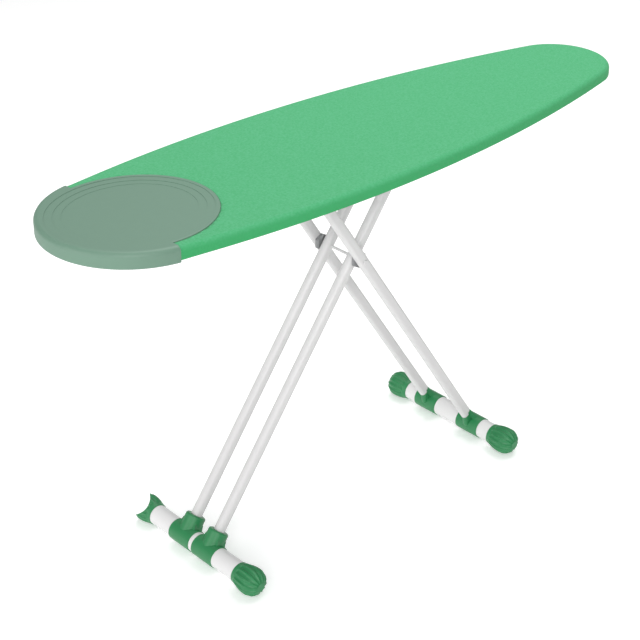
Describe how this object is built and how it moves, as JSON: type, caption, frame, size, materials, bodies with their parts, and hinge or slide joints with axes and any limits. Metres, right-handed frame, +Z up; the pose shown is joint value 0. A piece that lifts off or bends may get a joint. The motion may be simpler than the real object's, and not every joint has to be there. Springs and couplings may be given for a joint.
{
  "type": "folding ironing board",
  "caption": "Folding ironing board with a padded cover, an iron rest tray at the tail and crossed tubular legs on foot bars with ribbed ball caps.",
  "frame": {"origin": "on the floor, under the centre of the board's bounding box", "axes": "+X along the board towards the rounded nose, +Z up, +Y to the user's left when facing +X; the iron tray is at -X"},
  "size_m": [1.326, 0.3839, 0.751],
  "materials": {
    "cover_cotton": "matte",
    "pad_felt": "matte",
    "panel_steel": "satin",
    "frame_steel": "satin",
    "elastic_white": "matte",
    "tray_plastic": "matte",
    "leg_white": "gloss",
    "foot_white": "gloss",
    "green_plastic": "satin",
    "grey_plastic": "satin",
    "zinc_steel": "satin",
    "spring_steel": "satin"
  },
  "bodies": {
    "board": {"cover": "cover_cotton", "pad": "pad_felt", "top_panel": "panel_steel", "rim_frame": "frame_steel", "cross_straps": "frame_steel", "hem_elastic": "elastic_white", "iron_tray": "tray_plastic", "tray_screws": "zinc_steel", "hinge_bracket_left": "zinc_steel", "hinge_bracket_right": "zinc_steel", "hinge_rod": "zinc_steel", "hinge_rod_caps": "zinc_steel", "guide_rod": "zinc_steel", "guide_bracket_tail": "zinc_steel", "guide_bracket_nose": "zinc_steel", "bracket_rivets": "zinc_steel"},
    "outer_leg_frame": {"outer_leg_left": "leg_white", "outer_leg_right": "leg_white", "outer_foot_bar": "foot_white", "outer_foot_fitting_left": "green_plastic", "outer_foot_fitting_right": "green_plastic", "outer_end_cap_left": "green_plastic", "outer_end_cap_right": "green_plastic", "outer_fitting_screws": "zinc_steel", "outer_leg_plugs": "grey_plastic", "outer_cross_tube": "leg_white", "pivot_axle": "leg_white", "pivot_axle_heads": "leg_white", "pivot_spacer_left": "grey_plastic", "pivot_spacer_right": "grey_plastic"},
    "inner_leg_frame": {"inner_leg_left": "leg_white", "inner_leg_right": "leg_white", "inner_foot_bar": "foot_white", "inner_foot_fitting_left": "green_plastic", "inner_foot_fitting_right": "green_plastic", "inner_end_cap_left": "green_plastic", "inner_end_cap_right": "green_plastic", "inner_fitting_screws": "zinc_steel", "inner_leg_plugs": "grey_plastic", "slider_rod": "zinc_steel", "slider_rod_caps": "zinc_steel"},
    "slide_carriage": {"slide_carriage": "grey_plastic", "brake_spring": "spring_steel"},
    "brake_plate": {"brake_plate": "zinc_steel"},
    "release_lever": {"lever_rod": "zinc_steel", "lever_cam": "zinc_steel", "lever_grip": "green_plastic"}
  },
  "joints": [
    {"name": "board_hinge", "type": "hinge", "parent": "board", "child": "outer_leg_frame", "pos_m": [-0.17487, 0, 0.718], "axis": [0, -1, 0], "range_deg": [-9, 50]},
    {"name": "leg_pivot", "type": "hinge", "parent": "outer_leg_frame", "child": "inner_leg_frame", "pos_m": [-0.0366, 0, 0.5204], "axis": [0, 1, 0], "range_deg": [-18, 100]},
    {"name": "slider_hinge", "type": "hinge", "parent": "inner_leg_frame", "child": "slide_carriage", "pos_m": [0.10167, 0, 0.718], "axis": [0, -1, 0], "range_deg": [-9, 50]},
    {"name": "release_lever", "type": "hinge", "parent": "slide_carriage", "child": "release_lever", "pos_m": [0.12767, 0, 0.716], "axis": [0, 1, 0], "range_deg": [0, 14], "stiffness_Nm_per_rad": 1.5, "springref_deg": -14.32},
    {"name": "brake_plate", "type": "hinge", "parent": "slide_carriage", "child": "brake_plate", "pos_m": [0.11367, 0, 0.734], "axis": [0, 1, 0], "range_deg": [0, 3.5]}
  ],
  "couplings": [
    {"joint": "leg_pivot", "follows": "board_hinge", "ratio": 2},
    {"joint": "slider_hinge", "follows": "board_hinge", "ratio": 1},
    {"joint": "brake_plate", "follows": "release_lever", "ratio": 0.25}
  ]
}
